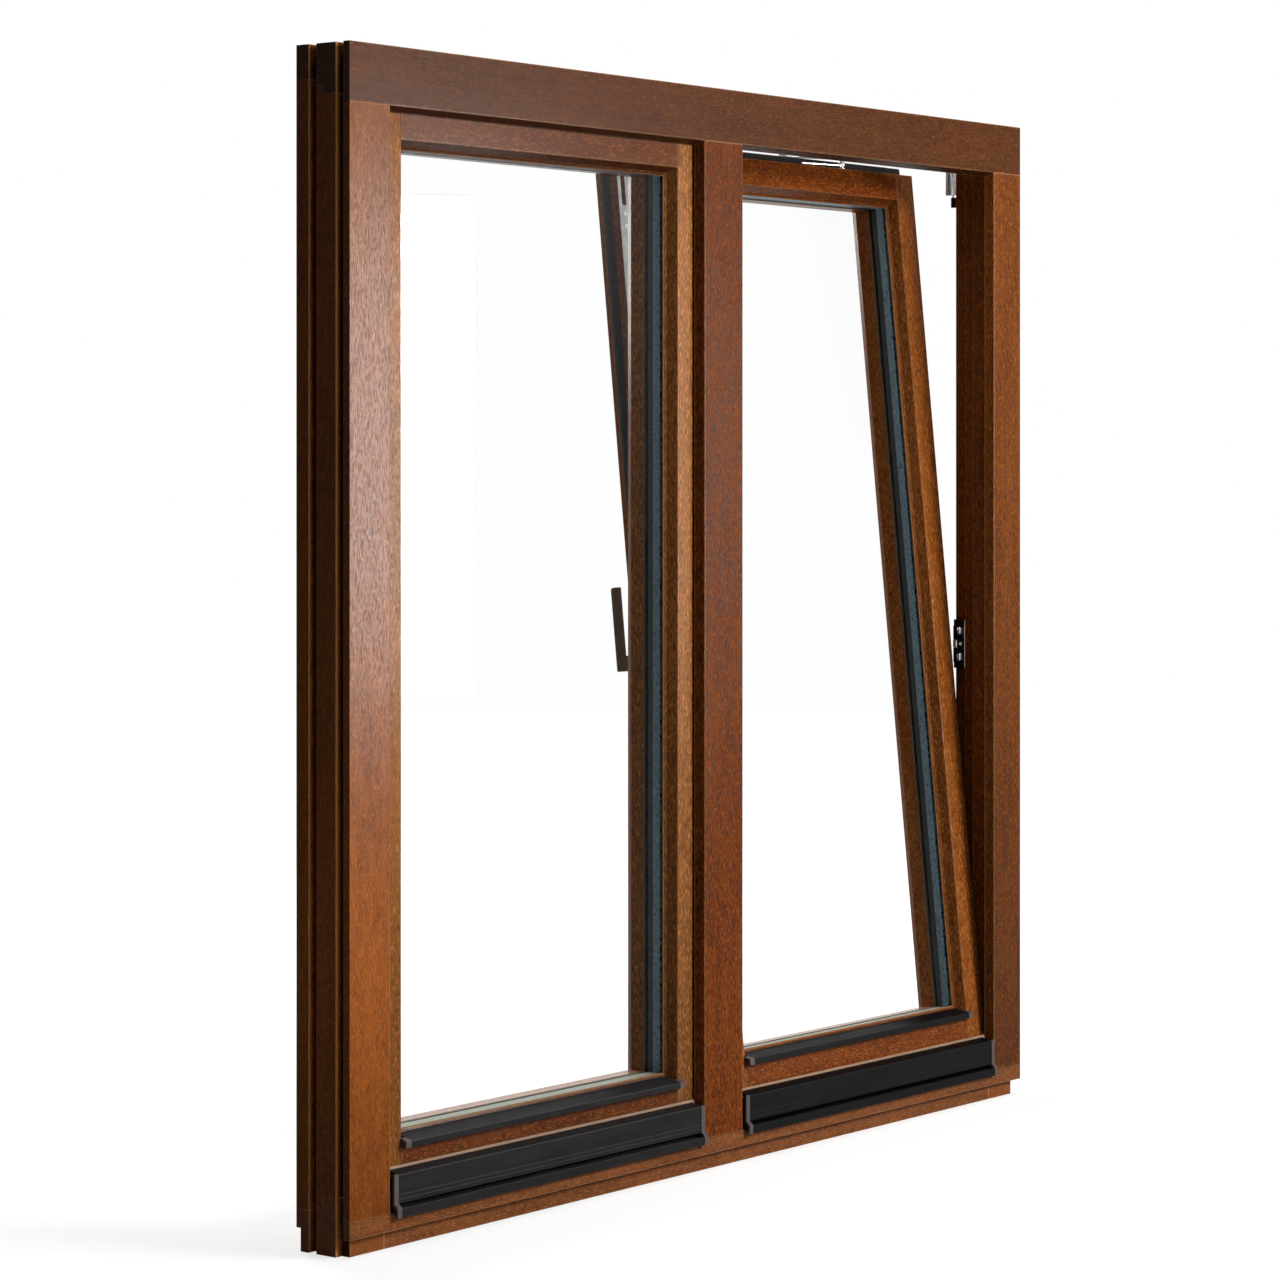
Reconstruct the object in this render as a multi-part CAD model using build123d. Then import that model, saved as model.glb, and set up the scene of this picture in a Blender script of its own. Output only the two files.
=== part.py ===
from build123d import *
import math
import os

# A timber tilt-and-turn window with two bays, seen from outside.
# X runs to the right as seen from outside, Y inwards and Z up, in millimetres.
# The origin is the middle of the sill's underside, at half the frame's depth.

# Frame, overall
FRAME_WIDTH = 1465.0
FRAME_HEIGHT = 1435.0
FRAME_DEPTH = 86.0

# Frame section. Widths run from the outer edge to the opening, depths from the front face.
LIP_FACE = 71.0
LIP_BEVEL = 6.0
LIP_DEPTH = 13.0
STEP_A = 61.0
STEP_A_DEPTH = 44.0
STEP_B = 48.0
STEP_B_DEPTH = 66.0
STEP_C = 42.0
ARRIS = 1.5

# Fixing grooves round the frame's outer edge
GROOVE_DEPTH = 11.0
FRONT_GROOVE = (10.0, 22.5)
BACK_GROOVE = (53.5, 66.0)

# Sill and mullion
SILL_RISE = 8.0
SILL_FACE = 43.0
SILL_SLOPE = 8.0
SILL_FRONT_REBATE = (10.0, 22.0)
SILL_BACK_REBATE = (7.0, 28.0)
MULLION_FACE = 84.0

# Sash
SASH_INSET = 3.0
SASH_FLANGE = 8.0
SHOULDER_GAP = 4.0
EDGE_GAP = 5.0
SASH_TOP_DROP = 4.4
FITTING_GAP = 7.0
OVERLAP = 2.0
CORNER_EASE = 3.0
SASH_FACE = 42.5
BEVEL_WIDTH = 6.8
BEVEL_DEPTH = 14.0
CHAMFER_WIDTH = 4.5
CHAMFER_DEPTH = 3.0
BOTTOM_RAIL_EXTRA = 6.4
SASH_ARRIS = 2.0
GASKET = 3.5
TILT_ANGLE = 5.8

# Glazing
PANE = 4.0
CAVITY = 20.0
TAPE = 2.0
GLASS_COVER = 14.5
GLASS_PLAY = 3.0
SPACER_INSET = 1.5
SPACER_WIDTH = 11.0
TAPE_WIDTH = 9.0
BEAD_SETBACK = 1.0
BEAD_HEIGHT = 16.0
BEAD_SPLAY = 6.0
BEAD_SPLAY_DEPTH = 10.0

# Rain rail on the sill
RAIL_SHEET = 2.0
RAIL_PROUD = 2.5
RAIL_LEDGE = 5.5
RAIL_LIP_BOTTOM = 38.0
RAIL_LIP_TOP = 48.5
RAIL_WALL_BOTTOM = 53.5
RAIL_WALL_TOP = 88.0
RAIL_FLANGE_RISE = 4.0
RAIL_LINES = (64.3, 59.0)
RAIL_LINE_WIDTH = 1.2
RAIL_LINE_DEPTH = 0.6
RAIL_END_PLAY = 4.0
RAIL_CAP = 7.5
RAIL_CAP_PROUD = 0.8
SEAL_HEIGHT = 5.0
SEAL_PLAY = 0.4

# Drip on the bottom rail of each sash
DRIP_SHEET = 1.8
DRIP_SEAT = 15.0
DRIP_FALL = 4.35
DRIP_UPSTAND = 1.6
DRIP_OVERHANG = 9.5
DRIP_LIP = 7.2
DRIP_END_PLAY = 1.0
DRIP_CAP = 9.8
DRIP_CAP_PROUD = 0.6

# Faceplates let into the sash's edges
PLATE = 2.5
PLATE_WIDTH = 18.0
PLATE_SETBACK = 5.0
PLATE_END = 20.0
SLOT_INSET = 45.0
SLOT_LENGTH = 46.0
SLOT_WIDTH = 7.0
PLATE_HOLE = 6.0
HOLE_PITCH = 17.0

# Handle
HANDLE_HEIGHT = 668.5
ROSETTE_LENGTH = 64.0
ROSETTE_WIDTH = 28.0
ROSETTE_THICK = 10.0
NECK_LENGTH = 40.5
NECK_HEIGHT = 21.0
LEVER_LENGTH = 116.0
LEVER_WIDTH = 15.0
LEVER_THICK = 7.5
LEVER_ROUND = 2.0
LEVER_TIP_ROUND = 4.0
LEVER_EASE = 1.2

# Hinges, stay arm and striker plates
HINGE_INSET = 33.0
HINGE_STANDOFF = 12.0
KNUCKLE_DIAMETER = 9.5
HINGE_PLATE = 3.0
HINGE_PLATE_END = 16.5
UPPER_HINGE_HEIGHT = 44.0
HINGE_TIP_DIAMETER = 4.5
HINGE_TIP = 4.0
STOP_WIDTH = 6.0
STOP_DEPTH = 9.0
STOP_HEIGHT = 15.0
LOWER_HINGE_BOTTOM = 34.0
LOWER_HINGE_HEIGHT = 36.0
HINGE_PLAY = 1.0
COLLAR_HEIGHT = 34.0
STAY_LENGTH = 310.0
STAY_WIDTH = 18.0
STAY_THICK = 4.0
STAY_LEAF_WIDTH = 10.0
STAY_RIVET = 11.0
STAY_RIVET_HEIGHT = 2.0
STAY_PLAY = 0.3
STRIKER_HEIGHT = 72.0
STRIKER_THICK = 6.0
STRIKER_LEVEL = 667.5
STRIKER_KEEP = 1.5
STRIKER_KEEP_DEPTH = 7.0
STRIKER_KEEP_HEIGHT = 54.0
STRIKER_SLOT = (15.0, 10.5)
STRIKER_SLOT_DEPTH = 1.5
STRIKER_SLOT_PITCH = 39.0

# Places that follow from the sizes above
FRONT = -FRAME_DEPTH / 2
HALF = FRAME_WIDTH / 2
MULLION_SHIFT = LIP_FACE - MULLION_FACE / 2
SASH_FRONT = LIP_DEPTH + SASH_INSET
SASH_STEP = STEP_A_DEPTH + SHOULDER_GAP
SASH_LIP = FRAME_DEPTH + SHOULDER_GAP
SASH_BACK = SASH_LIP + SASH_FLANGE
SASH_DEPTH = SASH_BACK - SASH_FRONT
EDGE_FRONT = STEP_A + EDGE_GAP
EDGE_MIDDLE = STEP_B + FITTING_GAP
EDGE_LIP = STEP_C - OVERLAP
SASH_ARRIS_AT = EDGE_FRONT + SASH_FACE
SIGHT = SASH_ARRIS_AT + BEVEL_WIDTH + CHAMFER_WIDTH
GLASS_SEAT = SASH_FRONT + BEVEL_DEPTH + CHAMFER_DEPTH
GLASS_EDGE = SIGHT - GLASS_COVER
REBATE_FLOOR = GLASS_EDGE - GLASS_PLAY
GLASS_FRONT = GLASS_SEAT + TAPE
GLASS_BACK = GLASS_FRONT + 2 * PANE + CAVITY
BEAD_FRONT = GLASS_BACK + TAPE
BEAD_BACK = SASH_BACK - BEAD_SETBACK
BOTTOM_SIGHT = SILL_RISE + SIGHT + BOTTOM_RAIL_EXTRA
BOTTOM_FLOOR = BOTTOM_SIGHT - SIGHT + REBATE_FLOOR
DRIP_BACK = SASH_FRONT + DRIP_SEAT
DRIP_HEEL = BOTTOM_SIGHT - CHAMFER_WIDTH - DRIP_UPSTAND
DRIP_SLOPE = DRIP_FALL / DRIP_SEAT
DRIP_END = SASH_ARRIS_AT + BEVEL_WIDTH + DRIP_END_PLAY
PLATE_FRONT = SASH_STEP + PLATE_SETBACK
PLATE_BACK = PLATE_FRONT + PLATE_WIDTH
PIN_DEPTH = FRAME_DEPTH + HINGE_STANDOFF
TILT_AXIS = Axis((0, FRONT + PIN_DEPTH, SILL_RISE + EDGE_LIP), (1, 0, 0))

pieces = {}


def section(points, rounds=()):
    """A flat outline with chosen corners rounded, each given as (point, radius)."""
    face = make_face(Polyline(points, close=True))
    for corner, radius in rounds:
        nearest = face.vertices().sort_by_distance(Vector(*corner, 0))[0]
        face = fillet(nearest, radius)
    return face


def upright(points, bottom, top, rounds=()):
    """A bar along Z, from a section of (x, depth) points."""
    moved = [(x, FRONT + depth) for x, depth in points]
    moved_rounds = [((x, FRONT + depth), radius) for (x, depth), radius in rounds]
    return Pos(0, 0, bottom) * extrude(section(moved, moved_rounds), top - bottom, dir=(0, 0, 1))


def crossbar(points, left, right, rounds=()):
    """A bar along X, from a section of (depth, z) points."""
    moved = [(FRONT + depth, z) for depth, z in points]
    moved_rounds = [((FRONT + depth, z), radius) for (depth, z), radius in rounds]
    face = Plane.YZ * section(moved, moved_rounds)
    return Pos(left, 0, 0) * extrude(face, right - left, dir=(1, 0, 0))


def block(left, right, front, back, bottom, top):
    """A box given by its faces, with front and back as depths."""
    return upright([(left, front), (right, front), (right, back), (left, back)], bottom, top)


def post(x, depth, diameter, bottom, top):
    """A round pin along Z."""
    return Pos(x, FRONT + depth, bottom) * extrude(Circle(diameter / 2), top - bottom)


def opening_edge(reference, side):
    """Turns widths from a frame member's outer edge into x, for the left (1) or right (-1) side of a bay."""
    return lambda width: reference + side * width


def frame_steps():
    """The rebated side of the frame section, as (width, depth), from front to back."""
    return [
        (LIP_FACE, 0),
        (LIP_FACE + LIP_BEVEL, LIP_DEPTH),
        (STEP_A, LIP_DEPTH),
        (STEP_A, STEP_A_DEPTH),
        (STEP_B, STEP_A_DEPTH),
        (STEP_B, STEP_B_DEPTH),
        (STEP_C, STEP_B_DEPTH),
        (STEP_C, FRAME_DEPTH),
    ]


def side_grooves():
    """The two fixing grooves that run up both ends of the frame, as cutters."""
    cutters = []
    for side in (1, -1):
        edge = opening_edge(-side * HALF, side)
        for front, back in (FRONT_GROOVE, BACK_GROOVE):
            left, right = sorted((edge(-GROOVE_DEPTH), edge(GROOVE_DEPTH)))
            cutters.append(block(left, right, front, back, -FRAME_HEIGHT, 2 * FRAME_HEIGHT))
    return cutters


def build_frame():
    """Head and sill run through, and jambs and mullion are scribed between them."""
    head_points = [(0, FRAME_HEIGHT)]
    head_points += [(depth, FRAME_HEIGHT - width) for width, depth in frame_steps()]
    head_points += [(FRAME_DEPTH, FRAME_HEIGHT)]
    head_blank = crossbar(head_points, -HALF, HALF, [((0, FRAME_HEIGHT - LIP_FACE), ARRIS)])

    slope_top = SILL_FACE + SILL_SLOPE
    sill_points = [(0, 0), (0, SILL_FACE), (LIP_DEPTH, slope_top)]
    sill_points += [(depth, SILL_RISE + width) for width, depth in frame_steps()[2:]]
    sill_points += [(FRAME_DEPTH, 0)]
    sill_blank = crossbar(sill_points, -HALF, HALF, [((0, SILL_FACE), ARRIS)])

    head = head_blank
    for front, back in (FRONT_GROOVE, BACK_GROOVE):
        head -= block(-HALF, HALF, front, back, FRAME_HEIGHT - GROOVE_DEPTH, FRAME_HEIGHT)
    sill = sill_blank - block(-HALF, HALF, 0, SILL_FRONT_REBATE[0], 0, SILL_FRONT_REBATE[1])
    back_rebate = FRAME_DEPTH - SILL_BACK_REBATE[0]
    sill -= block(-HALF, HALF, back_rebate, FRAME_DEPTH, 0, SILL_BACK_REBATE[1])
    for cutter in side_grooves():
        head -= cutter
        sill -= cutter
    pieces["frame_head"] = head
    pieces["frame_sill"] = sill

    for name, side in (("frame_left_jamb", 1), ("frame_right_jamb", -1)):
        edge = opening_edge(-side * HALF, side)
        points = [(edge(0), 0)]
        points += [(edge(width), depth) for width, depth in frame_steps()]
        points += [(edge(0), FRAME_DEPTH)]
        jamb = upright(points, 0, FRAME_HEIGHT, [((edge(LIP_FACE), 0), ARRIS)])
        jamb = jamb - head_blank - sill_blank
        for cutter in side_grooves():
            jamb -= cutter
        pieces[name] = jamb

    half_steps = [(width - MULLION_SHIFT, depth) for width, depth in frame_steps()]
    points = [(-width, depth) for width, depth in half_steps]
    points += [(width, depth) for width, depth in reversed(half_steps)]
    rounds = [((side * MULLION_FACE / 2, 0), ARRIS) for side in (-1, 1)]
    pieces["frame_mullion"] = upright(points, 0, FRAME_HEIGHT, rounds) - head_blank - sill_blank


def build_rain_rail(bay, left, right):
    """The aluminium rail on a bay's sill: a gutter under a hanging wall, with its end caps and seal."""
    wall = -RAIL_PROUD
    wall_back = wall + RAIL_SHEET
    lip = wall - RAIL_LEDGE
    lip_back = lip + RAIL_SHEET
    rear = LIP_DEPTH - RAIL_SHEET
    flange_top = RAIL_WALL_TOP + RAIL_FLANGE_RISE

    def floor(depth):
        """Height of the sill's weathering, which carries the gutter's floor."""
        return SILL_FACE + SILL_SLOPE * depth / LIP_DEPTH

    def ceiling(depth):
        """Height of the sloping flange's underside."""
        return RAIL_WALL_TOP + RAIL_FLANGE_RISE * (depth - wall) / (LIP_DEPTH - wall) - RAIL_SHEET

    points = [
        (lip, RAIL_LIP_BOTTOM),
        (lip, RAIL_LIP_TOP),
        (lip_back, RAIL_LIP_TOP),
        (lip_back, floor(lip_back) + RAIL_SHEET),
        (rear, floor(rear) + RAIL_SHEET),
        (rear, ceiling(rear)),
        (wall_back, ceiling(wall_back)),
        (wall_back, RAIL_WALL_BOTTOM),
        (wall, RAIL_WALL_BOTTOM),
        (wall, RAIL_WALL_TOP),
        (LIP_DEPTH, flange_top),
        (LIP_DEPTH, floor(LIP_DEPTH)),
        (lip_back, floor(lip_back)),
        (lip_back, RAIL_LIP_BOTTOM),
    ]
    ends = (left(LIP_FACE + RAIL_END_PLAY), right(LIP_FACE + RAIL_END_PLAY))
    start = ends[0] + RAIL_CAP
    stop = ends[1] - RAIL_CAP
    rail = crossbar(points, start, stop, [((wall, RAIL_WALL_TOP), RAIL_SHEET / 2)])
    for level in RAIL_LINES:
        half = RAIL_LINE_WIDTH / 2
        rail -= block(start, stop, wall, wall + RAIL_LINE_DEPTH, level - half, level + half)
    for neighbour in ("frame_left_jamb", "frame_mullion", "frame_right_jamb"):
        rail -= pieces[neighbour]
    pieces[bay + "_rain_rail"] = rail

    cap_points = [
        (lip - RAIL_CAP_PROUD, RAIL_LIP_BOTTOM - RAIL_CAP_PROUD),
        (lip - RAIL_CAP_PROUD, RAIL_LIP_TOP + RAIL_CAP_PROUD),
        (wall - RAIL_CAP_PROUD, RAIL_WALL_BOTTOM + RAIL_CAP_PROUD),
        (wall - RAIL_CAP_PROUD, RAIL_WALL_TOP + RAIL_CAP_PROUD),
        (wall_back, RAIL_WALL_TOP + RAIL_CAP_PROUD),
        (wall_back, RAIL_WALL_BOTTOM - RAIL_SHEET),
        (lip_back, RAIL_LIP_TOP - RAIL_SHEET),
        (lip_back, RAIL_LIP_BOTTOM - RAIL_CAP_PROUD),
    ]
    caps = pieces.setdefault("rain_rail_caps", [])
    caps.append(crossbar(cap_points, ends[0], start))
    caps.append(crossbar(cap_points, stop, ends[1]))

    seal_back = SASH_FRONT - SEAL_PLAY
    seal_bottom = flange_top - RAIL_SHEET
    seal_points = [
        (LIP_DEPTH, seal_bottom),
        (LIP_DEPTH, seal_bottom + SEAL_HEIGHT / 2),
        ((LIP_DEPTH + seal_back) / 2, seal_bottom + SEAL_HEIGHT),
        (seal_back, seal_bottom + SEAL_HEIGHT),
        (seal_back, seal_bottom),
    ]
    first = left(LIP_FACE + LIP_BEVEL)
    last = right(LIP_FACE + LIP_BEVEL)
    pieces.setdefault("rain_rail_seals", []).append(crossbar(seal_points, first, last))


def rotate_sash(solid):
    """Tips a piece of the right sash inwards about its tilt axis."""
    return solid.rotate(TILT_AXIS, -TILT_ANGLE)


def top_edge(width):
    """Height of a line that lies a given width below the frame's top."""
    return FRAME_HEIGHT - width


def panel(left, right, edge, front, back, drop=0, ease=0):
    """A slab over a whole sash at one width from the frame's edge, its top lowered and its corners eased if asked."""
    slab = block(left(edge), right(edge), front, back, SILL_RISE + edge, top_edge(edge + drop))
    return fillet(slab.edges().filter_by(Axis.Y), ease) if ease else slab


def sash_envelope(left, right):
    """The stepped outline that every timber of a sash is cut to."""
    face = panel(left, right, EDGE_FRONT, SASH_FRONT, SASH_STEP, drop=SASH_TOP_DROP)
    middle = panel(left, right, EDGE_MIDDLE, SASH_STEP, SASH_LIP, ease=CORNER_EASE)
    lip = panel(left, right, EDGE_LIP, SASH_LIP, SASH_BACK, drop=SASH_TOP_DROP, ease=CORNER_EASE)
    return face + middle + lip


def build_gaskets(left, right):
    """Two seals round a sash, one bedded on its middle step and one on its lip."""
    front = SASH_STEP - GASKET
    middle_seal = panel(left, right, EDGE_MIDDLE, front, SASH_STEP, ease=CORNER_EASE)
    middle_seal -= panel(left, right, EDGE_FRONT, front, SASH_STEP, drop=SASH_TOP_DROP)
    front = SASH_LIP - GASKET
    lip_seal = panel(left, right, EDGE_LIP, front, SASH_LIP, drop=SASH_TOP_DROP, ease=CORNER_EASE)
    lip_seal -= panel(left, right, EDGE_MIDDLE, front, SASH_LIP, ease=CORNER_EASE)
    return [middle_seal, lip_seal]


def sash_section(place):
    """The glazed side of a stile or top rail, with widths placed by a function."""
    return [
        (place(EDGE_LIP), SASH_FRONT),
        (place(SASH_ARRIS_AT), SASH_FRONT),
        (place(SASH_ARRIS_AT + BEVEL_WIDTH), SASH_FRONT + BEVEL_DEPTH),
        (place(SIGHT), GLASS_SEAT),
        (place(REBATE_FLOOR), GLASS_SEAT),
        (place(REBATE_FLOOR), SASH_BACK),
        (place(EDGE_LIP), SASH_BACK),
    ]


def ring(left, right, outer, inner, front, back):
    """A rectangular ring between two widths, standing round the glass."""
    rise = BOTTOM_SIGHT - SIGHT
    whole = block(left(outer), right(outer), front, back, rise + outer, top_edge(outer))
    hole = block(left(inner), right(inner), front, back, rise + inner, top_edge(inner))
    return whole - hole


def build_beads(bay, left, right):
    """Four mitred inner beads that hold the glass against its tape."""
    inner = REBATE_FLOOR + BEAD_HEIGHT
    bead_profile = [
        (REBATE_FLOOR, BEAD_FRONT),
        (inner, BEAD_FRONT),
        (inner, BEAD_BACK - BEAD_SPLAY_DEPTH),
        (inner - BEAD_SPLAY, BEAD_BACK),
        (REBATE_FLOOR, BEAD_BACK),
    ]
    rise = BOTTOM_SIGHT - SIGHT
    x0, x1 = left(REBATE_FLOOR), right(REBATE_FLOOR)
    z0, z1 = rise + REBATE_FLOOR, top_edge(REBATE_FLOOR)
    b = BEAD_HEIGHT
    mitres = {
        "left": [(x0, z0), (x0 + b, z0 + b), (x0 + b, z1 - b), (x0, z1)],
        "right": [(x1, z0), (x1 - b, z0 + b), (x1 - b, z1 - b), (x1, z1)],
        "top": [(x0, z1), (x0 + b, z1 - b), (x1 - b, z1 - b), (x1, z1)],
        "bottom": [(x0, z0), (x0 + b, z0 + b), (x1 - b, z0 + b), (x1, z0)],
    }
    bars = {
        "left": upright([(left(w), d) for w, d in bead_profile], z0, z1),
        "right": upright([(right(w), d) for w, d in bead_profile], z0, z1),
        "top": crossbar([(d, top_edge(w)) for w, d in bead_profile], x0, x1),
        "bottom": crossbar([(d, rise + w) for w, d in bead_profile], x0, x1),
    }
    beads = {}
    for place, outline in mitres.items():
        face = Plane.XZ * make_face(Polyline(outline, close=True))
        prism = Pos(0, FRONT + SASH_BACK, 0) * extrude(face, SASH_DEPTH, dir=(0, -1, 0))
        beads[f"{bay}_{place}_bead"] = bars[place] & prism
    return beads


def build_drip(left, right, stiles):
    """The aluminium drip on the bottom rail's weathering, between the stiles' bevels, and its end caps."""
    front = SASH_FRONT - DRIP_OVERHANG
    arris = DRIP_HEEL - DRIP_FALL
    brow = arris - DRIP_OVERHANG * DRIP_SLOPE
    points = [
        (front, brow + DRIP_SHEET - DRIP_LIP),
        (front, brow + DRIP_SHEET),
        (DRIP_BACK, DRIP_HEEL + DRIP_SHEET),
        (DRIP_BACK, DRIP_HEEL),
        (front + DRIP_SHEET, brow + DRIP_SHEET * DRIP_SLOPE),
        (front + DRIP_SHEET, brow + DRIP_SHEET - DRIP_LIP),
    ]
    start, stop = left(DRIP_END), right(DRIP_END)
    drip = crossbar(points, start, stop, [((front, brow + DRIP_SHEET), DRIP_SHEET / 2)])
    for stile in stiles:
        drip -= stile
    cap_front = front - DRIP_CAP_PROUD
    cap_bottom = brow + DRIP_SHEET - DRIP_LIP - DRIP_CAP_PROUD
    cap_top = arris + DRIP_SHEET
    cap_points = [
        (cap_front, cap_bottom),
        (cap_front, brow + DRIP_SHEET + DRIP_CAP_PROUD),
        (SASH_FRONT, cap_top + DRIP_CAP_PROUD),
        (SASH_FRONT, cap_bottom),
    ]
    caps = [crossbar(cap_points, start - DRIP_CAP, start), crossbar(cap_points, stop, stop + DRIP_CAP)]
    return drip, caps


def build_sash(bay, left, right):
    """Timbers, double glazing, beads, drip and seals of one sash, in its closed place."""
    envelope = sash_envelope(left, right)
    low = SILL_RISE + EDGE_LIP
    high = top_edge(EDGE_LIP)
    parts = {}

    stiles = []
    for place in (left, right):
        rounds = [((place(SASH_ARRIS_AT), SASH_FRONT), SASH_ARRIS)]
        stiles.append(upright(sash_section(place), low, high, rounds) & envelope)
    parts[bay + "_sash_left_stile"], parts[bay + "_sash_right_stile"] = stiles

    top_points = [(depth, z) for z, depth in sash_section(top_edge)]
    top_rounds = [((SASH_FRONT, top_edge(SASH_ARRIS_AT)), SASH_ARRIS)]
    top_rail = crossbar(top_points, left(EDGE_LIP), right(EDGE_LIP), top_rounds) & envelope

    bottom_points = [
        (SASH_FRONT, low),
        (SASH_FRONT, DRIP_HEEL - DRIP_FALL),
        (DRIP_BACK, DRIP_HEEL),
        (DRIP_BACK, DRIP_HEEL + DRIP_UPSTAND),
        (GLASS_SEAT, BOTTOM_SIGHT),
        (GLASS_SEAT, BOTTOM_FLOOR),
        (SASH_BACK, BOTTOM_FLOOR),
        (SASH_BACK, low),
    ]
    bottom_rail = crossbar(bottom_points, left(EDGE_LIP), right(EDGE_LIP)) & envelope
    for stile in stiles:
        top_rail -= stile
        bottom_rail -= stile
    # Scraps of rail behind the stiles, in the glazing rebate, belong to neither timber
    parts[bay + "_sash_top_rail"] = top_rail.solids().sort_by(SortBy.VOLUME)[-1]
    parts[bay + "_sash_bottom_rail"] = bottom_rail.solids().sort_by(SortBy.VOLUME)[-1]

    rise = BOTTOM_SIGHT - SIGHT
    pane_faces = (left(GLASS_EDGE), right(GLASS_EDGE))
    pane_levels = (rise + GLASS_EDGE, top_edge(GLASS_EDGE))
    parts[bay + "_outer_pane"] = block(*pane_faces, GLASS_FRONT, GLASS_FRONT + PANE, *pane_levels)
    parts[bay + "_inner_pane"] = block(*pane_faces, GLASS_BACK - PANE, GLASS_BACK, *pane_levels)
    spacer_edge = GLASS_EDGE + SPACER_INSET
    parts[bay + "_spacer"] = ring(
        left, right, spacer_edge, spacer_edge + SPACER_WIDTH, GLASS_FRONT + PANE, GLASS_BACK - PANE
    )
    tape_edge = SIGHT - 1 - TAPE_WIDTH
    parts[bay + "_glazing_tape"] = [
        ring(left, right, tape_edge, tape_edge + TAPE_WIDTH, GLASS_SEAT, GLASS_FRONT),
        ring(left, right, tape_edge, tape_edge + TAPE_WIDTH, GLASS_BACK, BEAD_FRONT),
    ]
    parts.update(build_beads(bay, left, right))
    drip, caps = build_drip(left, right, stiles)
    parts[bay + "_drip"] = drip
    parts["drip_caps"] = caps
    parts["sash_gaskets"] = build_gaskets(left, right)
    return parts


def build_edge_faceplate(left):
    """The plate down the sash's free edge, with a slot and two screw holes at each locking cam."""
    bottom = SILL_RISE + EDGE_MIDDLE + PLATE_END
    top = top_edge(EDGE_MIDDLE) - PLATE_END
    plate = block(left(EDGE_MIDDLE - PLATE), left(EDGE_MIDDLE), PLATE_FRONT, PLATE_BACK, bottom, top)
    centre = Pos(left(EDGE_MIDDLE - PLATE / 2), FRONT + (PLATE_FRONT + PLATE_BACK) / 2, 0) * Rot(0, 90, 0)
    slot = extrude(SlotOverall(SLOT_LENGTH, SLOT_WIDTH), PLATE, both=True)
    hole = Cylinder(PLATE_HOLE / 2, 2 * PLATE)
    for level in (top - SLOT_INSET, HANDLE_HEIGHT, bottom + SLOT_INSET + 2 * HOLE_PITCH):
        plate -= Pos(0, 0, level) * centre * slot
        for count in (1, 2):
            plate -= Pos(0, 0, level - SLOT_LENGTH / 2 - count * HOLE_PITCH + PLATE_HOLE) * centre * hole
    return plate


def build_handle(left):
    """A rosette with rounded ends and an L-shaped lever, standing up as it does with the sash tilted."""
    x = left((EDGE_LIP + REBATE_FLOOR) / 2)
    base = Plane((x, FRONT + SASH_BACK, HANDLE_HEIGHT), x_dir=(1, 0, 0), z_dir=(0, 1, 0))
    rosette = extrude(base * Rot(0, 0, 90) * SlotOverall(ROSETTE_LENGTH, ROSETTE_WIDTH), ROSETTE_THICK)
    outer_rim = rosette.faces().sort_by(Axis.Y)[-1].edges()
    rosette = fillet(outer_rim, ROSETTE_THICK / 3)

    seat = SASH_BACK + ROSETTE_THICK
    outer = seat + NECK_LENGTH
    inner = outer - LEVER_THICK
    foot = HANDLE_HEIGHT - NECK_HEIGHT / 2
    shoulder = HANDLE_HEIGHT + NECK_HEIGHT / 2
    tip = foot + LEVER_LENGTH
    outline = [(seat, foot), (outer, foot), (outer, tip), (inner, tip), (inner, shoulder), (seat, shoulder)]
    rounds = [((outer, foot), LEVER_ROUND), ((outer, tip), LEVER_TIP_ROUND), ((inner, shoulder), LEVER_ROUND)]
    lever = crossbar(outline, x - LEVER_WIDTH / 2, x + LEVER_WIDTH / 2, rounds)
    for side in (0, -1):
        lever = fillet(lever.faces().sort_by(Axis.X)[side].edges(), LEVER_EASE)
    return rosette, lever


def build_sash_fittings(left, right):
    """Faceplates, handle and lower hinge arm that ride on the right sash, in its closed place."""
    parts = {}
    parts["edge_faceplate"] = build_edge_faceplate(left)
    parts["top_faceplate"] = block(
        left(EDGE_MIDDLE + PLATE_END), right(EDGE_MIDDLE + PLATE_END), PLATE_FRONT, PLATE_BACK,
        top_edge(EDGE_MIDDLE), top_edge(EDGE_MIDDLE) + PLATE,
    )
    parts["handle_rosette"], parts["handle_lever"] = build_handle(left)

    pin_x = right(HINGE_INSET)
    collar_bottom = LOWER_HINGE_BOTTOM + LOWER_HINGE_HEIGHT + HINGE_PLAY
    collar = post(pin_x, PIN_DEPTH, KNUCKLE_DIAMETER, collar_bottom, collar_bottom + COLLAR_HEIGHT)
    lug = block(
        right(EDGE_LIP), pin_x, PIN_DEPTH - HINGE_PLATE / 2, PIN_DEPTH + HINGE_PLATE / 2,
        collar_bottom, collar_bottom + COLLAR_HEIGHT,
    )
    parts["lower_hinge_arm"] = collar + lug
    return parts


def build_hinge(pin_x, right, bottom, top):
    """A bracket on the frame's inner face: a plate, a web and the knuckle that the web carries."""
    plate = block(
        right(EDGE_LIP - HINGE_PLAY), right(HINGE_PLATE_END), FRAME_DEPTH, FRAME_DEPTH + HINGE_PLATE, bottom, top
    )
    web = block(pin_x - HINGE_PLATE / 2, pin_x + HINGE_PLATE / 2, FRAME_DEPTH, PIN_DEPTH, bottom, top)
    return plate + web + post(pin_x, PIN_DEPTH, KNUCKLE_DIAMETER, bottom, top)


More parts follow.
